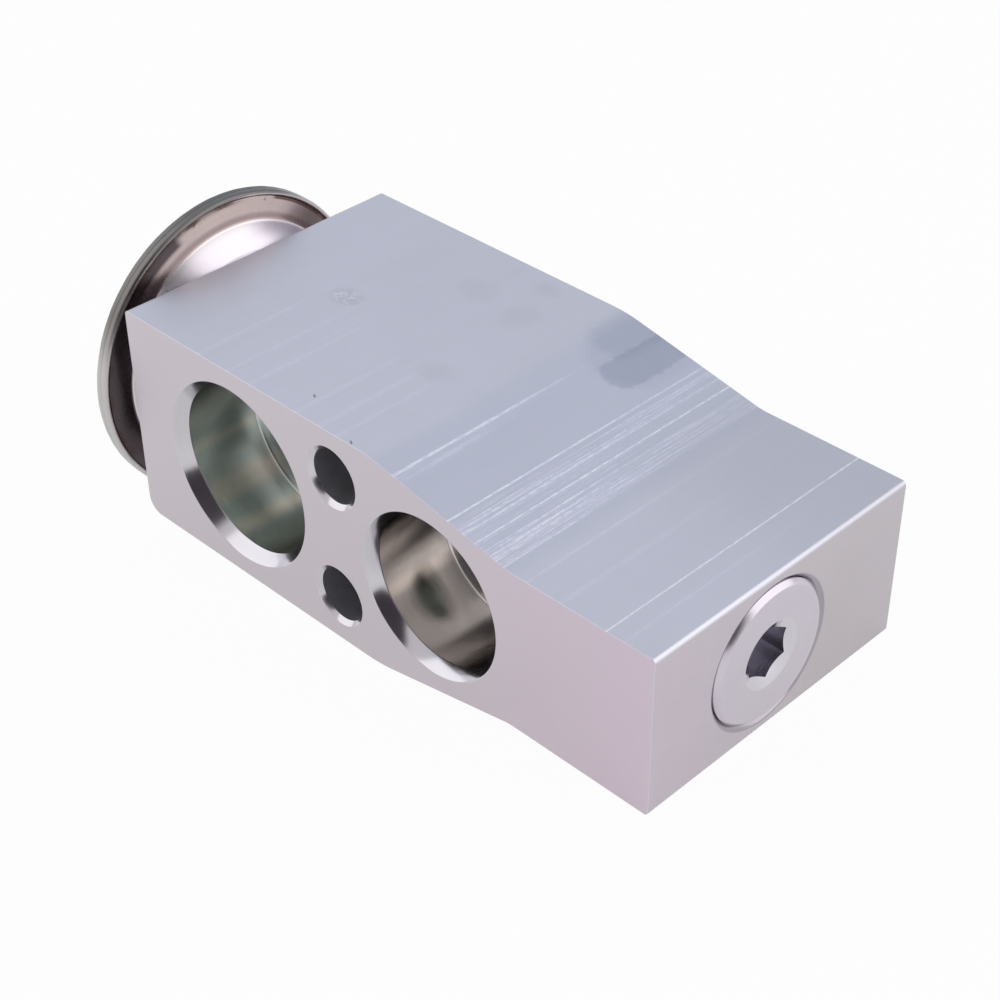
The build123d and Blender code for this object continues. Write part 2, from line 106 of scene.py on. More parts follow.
# Head profiles as place, measured from the block's head end, and radius
RIM_PLACE = -4.0
SHEET = 0.88
BEAD_ROUND = 0.4
RING_RADIUS = 14.85
RING = (-2.63, RING_RADIUS)
DISH_FOOT = (-0.7, 12.2)
SEATED_EDGE = (0.0, 11.7)
NECK = ((0.0, 9.0), (3.7, 9.0), (4.2, 8.5), (4.2, 7.0))
HOLLOW = ((-1.9, 7.0), (-1.9, 11.1), (-3.43, 14.45))
DOME_RISE = 3.6
DOME_SHEET = 0.8
DOME_RADII = (15.8, 11.5, 1.5)
DOME_HOLLOW_RADII = (11.0, 15.0)
BEAD_WAVES = (3, 7, 13, 29, 61)

# Screw profiles as depth below its face and radius
SCREW_BACK = ((6.25, 0.0), (6.25, 4.5), (11.25, 4.5), (11.25, 6.3), (11.0, 6.55), (10.25, 6.55))
SEAL_GROOVE = ((10.25, 5.52), (8.85, 5.52))
SCREW_LAND = ((8.85, 6.55), (7.25, 6.55), (6.95, 6.15), (5.05, 6.15))
COUNTERSINK_EDGE = 3.66
SCREW_FRONT = ((1.0, SCREW_RADIUS), (0.47, SCREW_RADIUS), (0.06, 7.10), (0.0, 7.0), (0.0, COUNTERSINK_EDGE))
THREAD_ENDS = (5.05, 1.0)
THREAD_RUN_OUT = 1.35
THREAD_UNDERCUT = 0.2
COUNTERSINK = (0.03, 3.58)
COUNTERSINK_ANGLE = math.radians(61)
SOCKET_DEPTH = 4.3

# Groups of die lines on the skin as low end, high end, softness and strength
DIE_GROUPS = ((48.0, 49.2, 0.25, 1.0), (51.9, 54.3, 0.12, 1.0), (49.5, 51.6, 0.2, 0.4))
SHORT_GROUP = (40.3, 41.2, 0.5)
FAINT_GROUP = (10.0, 36.0, 6.0)
# Single die lines as place, half width and strength at the front and back
DIE_LINES = (
    (40.2, 0.24, 0.75, 0.05),
    (47.3, 0.16, 0.95, 0.5),
    (49.35, 0.16, 0.6, 0.3),
    (50.75, 0.14, 0.8, 0.7),
    (57.1, 0.25, 0.2, 0.05),
    (61.2, 0.5, 0.12, 0.0),
    (66.5, 0.14, 0.85, 0.9),
    (68.5, 0.2, 0.15, 0.0),
)
FAINT_LINES = (11.9, 16.5, 19.8, 26.7, 30.0, 32.5)
# Oil runs from the back edge as place, depth of the round end, half width, softness and strength
OIL_RUNS = ((43.2, 27.6, 2.0, 0.25, 0.7), (39.2, 31.5, 2.8, 1.0, 0.45), (42.0, 30.5, 4.6, 1.2, 0.35))
# Marks on the skin as place, depth, half length and half width
SMUDGES = ((23.3, 28.0, 3.6, 2.6), (30.0, 27.0, 2.6, 3.0), (28.3, 32.8, 2.4, 1.6), (31.2, 14.1, 2.6, 2.2))
DASHES = ((25.9, 3.1, 0.38, 0.15), (34.2, 0.35, 0.42, 0.13))
DASH_SLANT = math.radians(-34)
SCUFF = (14.2, 17.4, 2.6, 2.0)

# Colours of the marks on the block and on the head, among them painted reflections, painted highlights and
# painted shade
DASH_GREY = (0.22, 0.21, 0.24)
# Olive paint for a dark oval in the liquid port: a painted reflection of the hole in its floor
DARK_REFLECTION_OLIVE = (0.22, 0.225, 0.19)
DISH_LILAC = (0.83, 0.77, 0.83)
DISH_SHADE = (0.30, 0.26, 0.32)
RIM_HIGHLIGHT = (0.93, 0.88, 0.95)
ANNULUS_TAN = (0.52, 0.425, 0.40)
FOLD_BROWN = (0.16, 0.10, 0.10)
UNDER_BEAD_SHADE = (0.15, 0.11, 0.11)
# Near-black paint where the annulus reflects the shaded block end and floor: a painted dark reflection
DARK_REFLECTION_PAINT = (0.075, 0.062, 0.068)
CREASE_SHADE_BROWN = (0.10, 0.06, 0.045)
BEAD_LIT_GREY = (0.64, 0.62, 0.60)
BEAD_SHADE_AT_TOP = (0.21, 0.20, 0.19)
SPRING_BLUE = (0.42, 0.41, 0.46)

# Steps round a turned piece, the head, a mounting hole and the thread
TURN_STEPS = 192
HEAD_STEPS = 360
HOLE_STEPS = 96
THREAD_STEPS = 96
# A face looks along an axis when that part of its normal is over SQUARE
SQUARE = 0.99
# Slack within which a place lies on a face, on a wall or near a wall
ON_FACE = 0.01
ON_WALL = 0.05
NEAR_WALL = 0.1

# Camera as place, azimuth and elevation of the direction to it, and its right side
CAMERA_PLACE = (121.22, -98.42, 119.62)
CAMERA_AZIMUTH = math.radians(45.04)
CAMERA_ELEVATION = math.radians(36.55)
CAMERA_RIGHT = (0.7066, 0.7075, -0.0110)
# Room round the object, with patches as direction, inner and outer edge in degrees, and colour
ROOM_COLOUR = (0.90, 0.88, 0.90)
ROOM_PATCHES = (
    ((-0.55, 0.6, 0.5), 10, 75, (0.84, 0.90, 1.0)),
    ((0.66, -0.52, 0.5), 25, 35, (0.07, 0.06, 0.07)),
    ((0.36, -0.64, 0.68), 12, 24, (0.08, 0.07, 0.08)),
)
WHITE = (1.0, 1.0, 1.0)
LAMP_TARGET = (5, 17, 0)
FLOOR_HALF = 600.0


def mm(*values):
    """Millimetres to a vector in metres."""
    return Vector(values) * MM


def scaled(colour, factors):
    """Colour with each channel times its own factor."""
    return tuple(channel * factor for channel, factor in zip(colour, factors))


class Wire:
    """A node's output socket, with the arithmetic that Math nodes give."""

    def __init__(self, shader, socket):
        self.shader = shader
        self.socket = socket

    def math(self, operation, *values):
        """Math node with this value first."""
        return self.shader.node("ShaderNodeMath", {"operation": operation}, [self, *values])

    def __add__(self, other):
        return self.math("ADD", other)

    def __radd__(self, other):
        return self.math("ADD", other)

    def __sub__(self, other):
        return self.math("SUBTRACT", other)

    def __rsub__(self, other):
        return self.shader.node("ShaderNodeMath", {"operation": "SUBTRACT"}, [other, self])

    def __mul__(self, other):
        return self.math("MULTIPLY", other)

    def __rmul__(self, other):
        return self.math("MULTIPLY", other)

    def __truediv__(self, other):
        return self.math("DIVIDE", other)

    def __pow__(self, other):
        return self.math("POWER", other)

    def __abs__(self):
        return self.math("ABSOLUTE")

    def rise(self, low, high):
        """Smooth step from zero to one as this value goes from low to high."""
        settings = {"interpolation_type": "SMOOTHSTEP"}
        values = {"Value": self, "From Min": low, "From Max": high}
        return self.shader.node("ShaderNodeMapRange", settings, values)

    def band(self, low, high, soft):
        """One between low and high, zero outside, with soft edges."""
        return self.rise(low - soft, low) * (1 - self.rise(high, high + soft))


class Nodes:
    """A node tree that is filled with one call for each node."""

    def __init__(self, tree):
        self.tree = tree
        self.tree.nodes.clear()
        self.place = None

    def put(self, socket, value):
        """Gives an input socket a value or a link."""
        if isinstance(value, Wire):
            self.tree.links.new(value.socket, socket)
        elif socket.type == "RGBA" and len(value) == 3:
            socket.default_value = (*value, 1)
        else:
            socket.default_value = value

    def node(self, kind, settings=None, values=None, output=0):
        """Adds a node: its settings first, then its values or links by name or in order."""
        node = self.tree.nodes.new(kind)
        for key, value in (settings or {}).items():
            setattr(node, key, value)
        items = values.items() if isinstance(values, dict) else enumerate(values or [])
        for key, value in items:
            self.put(node.inputs[key], value)
        return Wire(self, node.outputs[output]) if node.outputs else None

    def mix(self, factor, first, second, blend="MIX"):
        """Colour mix; first and second are colours or colour wires."""
        settings = {"data_type": "RGBA", "blend_type": blend}
        # A Mix node has these sockets for colours, between those for numbers and vectors
        return self.node("ShaderNodeMix", settings, {0: factor, 6: first, 7: second}, output=2)


class Shader(Nodes):
    """A material's node tree, built around one Principled BSDF."""

    def __init__(self, name, colour, roughness, metallic=1.0):
        self.material = bpy.data.materials.new(name)
        self.material.use_nodes = True
        super().__init__(self.material.node_tree)
        self.bsdf = self.tree.nodes.new("ShaderNodeBsdfPrincipled")
        self.bsdf.inputs["Base Color"].default_value = (*colour, 1)
        self.bsdf.inputs["Roughness"].default_value = roughness
        self.bsdf.inputs["Metallic"].default_value = metallic
        self.output = self.tree.nodes.new("ShaderNodeOutputMaterial")
        self.tree.links.new(self.bsdf.outputs[0], self.output.inputs[0])

    def coordinates(self):
        """Object position as three values in millimetres."""
        if self.place is None:
            self.place = self.node("ShaderNodeTexCoord", output="Object")
        split = self.node("ShaderNodeSeparateXYZ", None, [self.place])
        outputs = split.socket.node.outputs
        return [Wire(self, outputs[i]) * (1 / MM) for i in range(3)]

    def vector(self, x, y, z):
        """Three values as one vector."""
        return self.node("ShaderNodeCombineXYZ", None, [x, y, z])

    def noise(self, x, y, z, scale=1.0, detail=2.0, roughness=0.5):
        """Smooth noise around 0.5 over a position in millimetres."""
        values = {"Vector": self.vector(x, y, z), "Scale": scale, "Detail": detail, "Roughness": roughness}
        return self.node("ShaderNodeTexNoise", None, values)

    def shade(self, colour, amount):
        """Colour made lighter or darker by a value around one."""
        vector = self.vector(amount, amount, amount)
        return self.mix(1.0, colour, vector, "MULTIPLY")

    def finish(self, colour, roughness, height, distance):
        """Links the varying colour, roughness and height, and returns the material.

        The distance is how high a height of one stands, in millimetres.
        """
        self.put(self.bsdf.inputs["Base Color"], colour)
        self.put(self.bsdf.inputs["Roughness"], roughness)
        values = {"Height": height, "Distance": distance * MM, "Strength": 1.0}
        self.put(self.bsdf.inputs["Normal"], self.node("ShaderNodeBump", None, values))
        return self.material


def polar(shader):
    """Place along the valve axis, and radius and angle about it, in millimetres and radians."""
    x, y, z = shader.coordinates()
    across = y - AXIS_Y
    radius = (across * across + z * z) ** 0.5
    angle = z.math("ARCTAN2", across)
    return x, radius, angle


def sector(angle, low, high, soft):
    """One between two angles in degrees, with edges that are soft in radians."""
    return angle.band(math.radians(low), math.radians(high), soft)


def milled_face(name, colour, roughness):
    """Connection face: very fine cutter marks along X and a faint cloudiness."""
    shader = Shader(name, colour, roughness)
    x, y, z = shader.coordinates()
    marks = shader.noise(x * 0.15, y, z * 6.0, 1.0, 3.0)
    cloud = shader.noise(x, y, z, 0.08, 2.0)
    grain = shader.noise(x, y, z, 9.0, 2.0)
    tint = shader.mix(x.rise(5.0, 40.0), colour, scaled(colour, (1.05, 0.98, 1.05)))
    tone = 0.965 + 0.04 * cloud + 0.02 * marks + 0.01 * grain
    return shader.finish(
        shader.shade(tint, tone),
        roughness - 0.05 + 0.08 * marks + 0.04 * cloud,
        marks * 0.5 + grain * 0.5,
        0.004,
    )


def spot(place, depth, mark, slant=0.0):
    """One at the middle of an oval mark, zero from its edge on."""
    across = place - mark[0]
    along = depth - mark[1]
    if slant:
        turned = across * math.cos(slant) + along * math.sin(slant)
        along = along * math.cos(slant) - across * math.sin(slant)
        across = turned
    across = across * (1 / mark[2])
    along = along * (1 / mark[3])
    return 1 - (across * across + along * along).rise(0.0, 1.0)


def die_lines(shader, place, y, z, front, fine):
    """Die lines along Y: groups, single lines and faint ones, all broken up by noise."""
    drift = shader.noise(place * 1.5, y * 0.22, z, 1.0, 2.0)
    broken = shader.noise(place * 4.0, y * 1.3, z * 1.3, 1.0, 3.0, 0.7)
    crisp = fine.rise(0.44, 0.62)
    group = 0.0
    for low, high, soft, strength in DIE_GROUPS:
        group = group + strength * place.band(low, high, soft)
    lines = crisp * group * (0.3 + 0.5 * front)
    lines = lines + crisp * place.band(*SHORT_GROUP) * front.rise(0.4, 1.0) * 0.3
    lines = lines + crisp * place.band(*FAINT_GROUP) * front * 0.07
    for at, width, strength, behind in DIE_LINES:
        near = 1 - abs(place - at).rise(width * 0.3, width)
        lines = lines + near * (0.45 + drift) * (behind + (strength - behind) * front.rise(0.15, 0.8))
    for at in FAINT_LINES:
        near = 1 - abs(place - at).rise(0.1, 0.45)
        lines = lines + near * front.rise(0.45, 0.9) * 0.12
    return lines * (0.5 + broken.rise(0.36, 0.62))


def oil_runs(place, y, ragged):
    """Oily patch at the back edge, as runs that end round."""
    oily = 0.0
    for at, depth, reach, soft, strength in OIL_RUNS:
        along = (y - depth).math("MINIMUM", 0.0)
        across = place - at
        run = (across * across + along * along) ** 0.5 + 0.35 * ragged
        oily = oily + (1 - run.rise(reach - soft, reach + soft)) * strength
    return oily


def extruded_skin(name, colour, roughness):
    """Bar skin: die lines, and on top an oily patch, smudges, a scuff and two small dashes, with a painted
    sheen toward the front and painted shade on the shoulder's slope.
    """
    shader = Shader(name, colour, roughness)
    x, y, z = shader.coordinates()
    place = x - HEAD_END
    top = z.rise(-1.0, 1.0)
    front = 1 - y.rise(0.0, BLOCK_DEPTH)
    fine = shader.noise(place * 6.5, y * 0.05, z * 0.4, 1.0, 3.0, 0.75)
    broad = shader.noise(place * 0.45, y * 0.03, z * 0.1, 1.0, 3.0)
    cloud = shader.noise(x, y, z, 0.13, 3.0, 0.55)
    mottle = shader.noise(x, y, z, 1.3, 4.0, 0.7)
    lines = die_lines(shader, place, y, z, front, fine)
    ragged = 2.4 * (mottle - 0.5) + 3.0 * (cloud - 0.5)
    oily = oil_runs(place, y, ragged) * top
    smudged = 0.0
    for mark in SMUDGES:
        smudged = smudged + spot(place + 0.5 * ragged, y + 0.7 * ragged, mark)
    dashed = 0.0
    for mark in DASHES:
        dashed = dashed + spot(place, y, mark, DASH_SLANT).rise(0.0, 0.5)
    dashed = dashed * top
    scuff = spot(place + ragged, y + 0.8 * ragged, SCUFF) * top
    scuffed = scuff * (mottle.rise(0.55, 0.62) * 0.13 - mottle.band(0.38, 0.52, 0.04) * 0.11)
    # Painted shade: the shoulder's slope is painted darker and bluer; the tone's front term is a painted
    # sheen, lighter toward the front
    slope = place.band(SHOULDER[0] + 2.0, SHOULDER[1] - 1.0, 3.0)
    far = place.rise(46.0, 58.0) * (1 - front).rise(0.2, 1.0)
    tone = 0.935 + 0.04 * broad + 0.05 * cloud + 0.03 * mottle + 0.02 * front + 0.36 * lines
    tone = tone - 0.19 * oily - 0.05 * smudged * top - 0.03 * slope + scuffed - 0.10 * far
    tinted = shader.mix(oily * 0.6 + slope * 0.3, colour, scaled(colour, (0.92, 0.96, 1.06)))
    marked = shader.mix(dashed * 0.75, tinted, DASH_GREY)
    return shader.finish(
        shader.shade(marked, tone),
        roughness + 0.06 * (cloud - 0.5) + 0.05 * lines + 0.05 * oily,
        lines * 0.8 + fine * 0.12 + mottle * 0.1 - dashed,
        0.010,
    )


def sawn_end(name, colour, roughness):
    """Cut end face with faint straight saw marks, pinker toward the connection face."""
    shader = Shader(name, colour, roughness)
    x, y, z = shader.coordinates()
    marks = shader.noise(y * 3.0, z * 0.06, x, 1.0, 3.0, 0.6)
    across = shader.noise(y * 0.1, z * 5.0, x, 1.0, 3.0, 0.6)
    cloud = shader.noise(x, y, z, 0.1, 2.0)
    mottle = shader.noise(x, y, z, 1.0, 3.0, 0.6)
    tint = shader.mix(1 - y.rise(4.0, 22.0), colour, scaled(colour, (1.03, 1.0, 1.05)))
    tone = 0.91 + 0.05 * marks + 0.04 * across + 0.06 * cloud + 0.03 * mottle - 0.06 * y.rise(10.0, 32.0)
    height = marks * 0.6 + across * 0.4
    return shader.finish(shader.shade(tint, tone), roughness + 0.1 * (marks - 0.5), height, 0.005)


def bored_wall(name, colour, roughness, mark_size=7.0, ring_height=0.004, reflection_streaks=None, reflection_oval=None):
    """Bored or reamed wall: rings round the bore, and in the ports streaky tan painted reflections.

    The painted reflection is the port's place, its colour and its streaks, each with an angle, a half width
    and a strength.
    A painted dark reflection in it is an oval: its depth and angle, and half its length each way.
    """
    shader = Shader(name, colour, roughness)
    x, y, z = shader.coordinates()
    rings = shader.noise(x * 0.05, y * mark_size, z * 0.05, 1.0, 2.0)
    cloud = shader.noise(x, y, z, 0.25, 2.0)
    tinted = colour
    if reflection_streaks:
        place, streak_colour, streaks = reflection_streaks
        angle = z.math("ARCTAN2", x - (HEAD_END + place))
        # Painted reflection: a tan tint that varies round the bore, with brighter streaks along it
        amount = 0.35 * shader.noise(angle * 6.0, y * 0.05, 0.0, 1.0, 2.0)
        for at, width, strength in streaks:
            near = 1 - abs(angle - math.radians(at)).rise(0.0, math.radians(width))
            amount = amount + near * strength * y.band(2.5, 8.5, 2.5)
        tinted = shader.mix(amount.math("MINIMUM", 1.0), colour, streak_colour)
        if reflection_oval:
            # Dark oval painted on the wall: a painted reflection of the hole in the port's floor
            depth, at, half_depth, half_angle = reflection_oval
            along = (y - depth) / half_depth
            across = (angle - math.radians(at)) / math.radians(half_angle)
            inside = 1 - (along * along + across * across).rise(0.35, 1.25)
            tinted = shader.mix(inside * 0.4, tinted, DARK_REFLECTION_OLIVE)
    shaded = shader.shade(tinted, 0.92 + 0.08 * rings + 0.06 * cloud)
    return shader.finish(shaded, roughness + 0.08 * (rings - 0.5) + 0.05 * (cloud - 0.5), rings, ring_height)


def turned_metal(name, colour, roughness, ring_size=5.0, ring_height=0.006):
    """Turned part: rings about the valve axis."""
    shader = Shader(name, colour, roughness)
    x, radius, angle = polar(shader)
    rings = shader.noise(radius * ring_size, x * ring_size, angle * 0.15, 1.0, 3.0)
    cloud = shader.noise(x * 0.3, radius * 0.3, angle * 0.8, 1.0, 2.0)
    shaded = shader.shade(colour, 0.92 + 0.09 * rings + 0.05 * cloud)
    return shader.finish(shaded, roughness + 0.1 * (rings - 0.5), rings, ring_height)


def painted_dark_reflection(from_front, radius):
    """Painted dark reflection on the annulus: along the front and again past the top."""
    outer = sector(from_front, -95, 66, 0.07) * radius.rise(15.8, 16.3)
    inner = sector(from_front, -95, 40, 0.25)
    past_top = from_front.rise(math.radians(116), math.radians(136)) * 0.7
    return outer.math("MAXIMUM", inner).math("MAXIMUM", past_top)


def pressed_shell(name, colour, roughness):
    """Pressed stainless shell: grey bead with painted highlight and shade, tan annulus with painted dark
    reflections, painted shade in the crease and under the bead and brown specks, lilac dish with painted
    shade at its side and a painted highlight along its rim.
    """
    shader = Shader(name, colour, roughness)
    x, radius, angle = polar(shader)
    _, y, z = shader.coordinates()
    from_front = z.math("ARCTAN2", AXIS_Y - y)
    grain = shader.noise(x, radius * 0.8, angle * 14.0, 1.5, 3.0, 0.55)
    around = shader.noise(x * 0.1, radius * 0.1, angle * 3.0, 1.0, 3.0)
    marks = shader.noise(x * 0.3, radius * 1.4, angle * 34.0, 1.0, 2.0)
    toe = RIM_RADIUS - BEAD_ROUND

    in_dish = 1 - radius.rise(13.8, RING_RADIUS - 0.05)
    shaded_side = from_front.rise(math.radians(95), math.radians(112))
    shaded_ring = (1 - radius.rise(14.4, 14.7)) * radius.rise(12.6, 14.2)
    # Painted highlight: a light line along the dish's rim
    rim_highlight = 1 - abs(radius - (RING_RADIUS - 0.12)).rise(0.06, 0.2)
    dish = shader.mix(in_dish, colour, DISH_LILAC)
    dish = shader.mix(shaded_side * shaded_ring * 0.7, dish, DISH_SHADE)
    dish = shader.mix(rim_highlight * 0.8, dish, RIM_HIGHLIGHT)

    annulus = radius.band(RING_RADIUS - 0.05, toe - 0.15, 0.15)
    fold_line = 1 - abs(radius - (RING_RADIUS + 0.3)).rise(0.1, 0.55)
    # Brown painted shade under the bead, from the upper front to the top
    under_bead_shade = radius.rise(toe - 0.9, toe - 0.2) * sector(from_front, 62, 92, 0.2)
    tan = shader.mix(annulus * (0.75 + 0.4 * around), dish, ANNULUS_TAN)
    tan = shader.mix(fold_line * 0.45, tan, FOLD_BROWN)
    tan = shader.mix(under_bead_shade * 0.75, tan, UNDER_BEAD_SHADE)
    # Painted dark reflection of the shaded block end and floor over the annulus
    tan = shader.mix(painted_dark_reflection(from_front, radius) * annulus * 0.92, tan, DARK_REFLECTION_PAINT)

    # Brown painted shade in the crease between bead and annulus, broken up by noise, and brown specks just
    # below it
    crease = radius.band(toe - 0.5, toe - 0.12, 0.12)
    below = radius.band(toe - 0.7, toe - 0.3, 0.15)
    crease_shade_and_specks = crease * around.rise(0.40, 0.56) + below * marks.rise(0.70, 0.76) * 0.6
    brown = shader.mix(crease_shade_and_specks.math("MINIMUM", 0.88), tan, CREASE_SHADE_BROWN)
    bead = radius.rise(toe - 0.05, toe + 0.15)
    # The bead is painted lighter as a highlight away from the top, and darker as shade from the upper front
    # to just past the top
    bead_lit_and_shaded = shader.mix(sector(from_front, 35, 112, 0.4), BEAD_LIT_GREY, BEAD_SHADE_AT_TOP)
    return shader.finish(
        shader.shade(shader.mix(bead, brown, bead_lit_and_shaded), 0.95 + 0.08 * grain),
        roughness + 0.08 * (grain - 0.5) + 0.08 * bead,
        grain * (0.03 + 0.6 * bead),
        0.012,
    )


def moulded(name, colour, roughness):
    """Rubber or plastic: fine mould grain."""
    shader = Shader(name, colour, roughness, 0.0)
    x, y, z = shader.coordinates()
    grain = shader.noise(x, y, z, 6.0, 3.0)
    cloud = shader.noise(x, y, z, 0.4, 2.0)
    shaded = shader.shade(colour, 0.85 + 0.2 * grain + 0.1 * cloud)
    return shader.finish(shaded, roughness + 0.1 * (grain - 0.5), grain, 0.01)


def drawn_wire(name, colour, roughness):
    """Drawn and tempered spring steel: streaks and a bluish cloud."""
    shader = Shader(name, colour, roughness)
    x, y, z = shader.coordinates()
    streak = shader.noise(x * 6.0, y, z, 1.2, 3.0)
    cloud = shader.noise(x, y, z, 0.3, 2.0)
    shaded = shader.shade(shader.mix(cloud, colour, SPRING_BLUE), 0.9 + 0.15 * streak)
    return shader.finish(shaded, roughness + 0.1 * (streak - 0.5), streak, 0.006)


def new_object(name, vertices, faces, materials=()):
    """Mesh object from vertices in millimetres."""
    mesh = bpy.data.meshes.new(name)
    mesh.from_pydata([Vector(v) * MM for v in vertices], [], faces)
    mesh.validate()
    for material in materials:
        mesh.materials.append(material)
    obj = bpy.data.objects.new(name, mesh)
    bpy.context.scene.collection.objects.link(obj)
    return obj


def lathe(name, profile, axis, centre, steps=TURN_STEPS, loop=False, wave=None):
    """Solid of revolution from (place, radius) points, about a line along X or Y.

    A profile that starts and ends on the axis closes by itself; a loop profile closes on its start.
    """
    vertices, faces, rings = [], [], []
    for place, radius in profile:
        if radius < 1e-6:
            rings.append([len(vertices)])
            vertices.append(on_axis(axis, centre, place, 0.0, 0.0))
            continue
        rings.append(range(len(vertices), len(vertices) + steps))
        for i in range(steps):
            angle = 2 * math.pi * i / steps
            reach = radius + (wave(radius, angle) if wave else 0.0)
            vertices.append(on_axis(axis, centre, place, reach, angle))
    pairs = list(zip(rings, rings[1:]))
    if loop:
        pairs.append((rings[-1], rings[0]))
    for first, second in pairs:
        for i in range(steps):
            j = (i + 1) % steps
            if len(first) == 1:
                faces.append((first[0], second[j], second[i]))
            elif len(second) == 1:
                faces.append((first[i], first[j], second[0]))
            else:
                faces.append((first[i], first[j], second[j], second[i]))
    obj = new_object(name, vertices, faces)
    outward(obj)
    return obj


def on_axis(axis, centre, place, radius, angle):
    """Point at a radius and angle about a line along X or Y."""
    if axis == "X":
        return (place, centre[0] + radius * math.cos(angle), centre[1] + radius * math.sin(angle))
    return (centre[0] + radius * math.cos(angle), place, centre[1] + radius * math.sin(angle))


def outward(obj):
    """Turns a closed mesh's faces outward."""
    work = bmesh.new()
    work.from_mesh(obj.data)
    bmesh.ops.recalc_face_normals(work, faces=work.faces)
    work.to_mesh(obj.data)
    work.free()


def arc(centre, radius, start, end, steps):
    """Points on an arc in the (place, radius) plane, with angles in degrees."""
    points = []
    for k in range(steps + 1):
        angle = math.radians(start + (end - start) * k / steps)
        points.append((centre[0] + radius * math.cos(angle), centre[1] + radius * math.sin(angle)))
    return points


def bend(before, corner, after, radius, steps):
    """Points on the rounding of a corner between its two neighbours, in a plane."""
    here = Vector(corner)
    to_before = (Vector(before) - here).normalized()
    to_after = (Vector(after) - here).normalized()
    opening = to_before.angle(to_after)
    reach = radius / math.tan(opening / 2)
    middle = here + (to_before + to_after).normalized() * (radius / math.sin(opening / 2))
    first = here + to_before * reach - middle
    turn = first.angle_signed(here + to_after * reach - middle)
    return [tuple(middle + Matrix.Rotation(-turn * k / steps, 2) @ first) for k in range(steps + 1)]


def rounded_outline(corners, steps=8):
    """Outline points with an arc at each corner, which is a point and a radius."""
    points = []
    for i, (corner, radius) in enumerate(corners):
        before = corners[i - 1][0]
        after = corners[(i + 1) % len(corners)][0]
        points += [Vector(point) for point in bend(before, corner, after, radius, steps)]
    return points


def prism(name, outline, low, high, edge_break, steps=3):
    """Bar along Y between low and high, with rounded edges at both faces."""
    count = len(outline)
    normals = []
    for i in range(count):
        along = (outline[(i + 1) % count] - outline[i - 1]).normalized()
        normals.append(Vector((along.y, -along.x)))
    area = sum(a.x * b.y - b.x * a.y for a, b in zip(outline, outline[1:] + outline[:1]))
    if area < 0:
        normals = [-n for n in normals]
    near_edge = []
    for k in reversed(range(steps + 1)):
        angle = math.pi / 2 * k / steps
        near_edge.append((low + edge_break * (1 - math.sin(angle)), edge_break * (1 - math.cos(angle))))
    far_edge = [(high - (y - low), inset) for y, inset in reversed(near_edge)]
    vertices = []
    for y, inset in near_edge + far_edge:
        for point, normal in zip(outline, normals):
            pulled_in = point - normal * inset
            vertices.append((pulled_in.x, y, pulled_in.y))
    faces = []
    rows = len(near_edge) + len(far_edge)
    for r in range(rows - 1):
        for i in range(count):
            j = (i + 1) % count
            faces.append((r * count + i, r * count + j, (r + 1) * count + j, (r + 1) * count + i))
    faces.append(tuple(range(count)))
    faces.append(tuple(reversed(range((rows - 1) * count, rows * count))))
    obj = new_object(name, vertices, faces)
    outward(obj)
    return obj


def cut(obj, cutters):
    """Takes the cutters out of the object and removes them."""
    for cutter in cutters:
        change = obj.modifiers.new("cut", "BOOLEAN")
        change.operation = "DIFFERENCE"
        change.solver = "EXACT"
        change.object = cutter
    settle(obj)
    for cutter in cutters:
        bpy.data.objects.remove(cutter)


def settle(obj):
    """Puts the result of the object's modifiers into its mesh."""
    graph = bpy.context.evaluated_depsgraph_get()
    mesh = bpy.data.meshes.new_from_object(obj.evaluated_get(graph))
    mesh.name = obj.name
    obj.modifiers.clear()
    obj.data = mesh


def soften(obj, sharp_angle):
    """Smooth shading with sharp edges kept and flat faces left flat."""
    mesh = obj.data
    mesh.shade_smooth()
    mesh.set_sharp_from_angle(angle=math.radians(sharp_angle))
    change = obj.modifiers.new("flat faces", "WEIGHTED_NORMAL")
    change.keep_sharp = True
    change.weight = 100
    settle(obj)


def wear_materials(obj, materials, choose):
    """Gives each face the material that choose names for its centre and normal, in millimetres."""
    names = list(materials)
    obj.data.materials.clear()
    for name in names:
        obj.data.materials.append(materials[name])
    for face in obj.data.polygons:
        centre = face.center / MM
        face.material_index = names.index(choose(centre, face.normal))


def port_profile(port, stop=None):
    """Cutter profile of a pipe port on the -Y face, from (y, radius) points."""
    _, mouth, bore = port
    ease = MOUTH_EASE
    profile = [(-PROUD, 0.0), (-PROUD, mouth + ease), (0.0, mouth + ease), (ease * 0.4, mouth + ease * 0.25)]
    profile += [(ease * 1.6, mouth - ease * 0.7), (MOUTH_DEPTH - ease, bore + ease * 0.5)]
    corner = bend((MOUTH_DEPTH, bore), (PORT_DEPTH, bore), (PORT_DEPTH, 0.0), FLOOR_ROUND, 4)
    profile += [(MOUTH_DEPTH + ease, bore), *corner]
    if stop:
        radius, depth = stop
        return [*profile, (PORT_DEPTH, radius), (depth, radius), (depth, 0.0)]
    return [*profile, (PORT_DEPTH, 0.0)]


def turn_round(profile):
    """The same profile on the +Y face."""
    return [(BLOCK_DEPTH - y, radius) for y, radius in profile]


def bolt_profile():
    """Cutter profile of a mounting hole from face to face, from (y, radius) points."""
    mouth = HOLE_MOUTH_RADIUS
    profile = [(-PROUD, 0.0), (-PROUD, mouth + HOLE_EASE), (0.0, mouth + HOLE_EASE)]
    profile += [(0.08, mouth - HOLE_EASE), (mouth - HOLE_RADIUS + 0.1, HOLE_RADIUS)]
    return profile + turn_round(profile)[::-1]


def stepped(*steps):
    """Profile of a bore in steps of start, end and radius, from and to its axis."""
    profile = [(steps[0][0], 0.0)]
    for start, end, radius in steps:
        profile += [(start, radius), (end, radius)]
    return [*profile, (steps[-1][1], 0.0)]


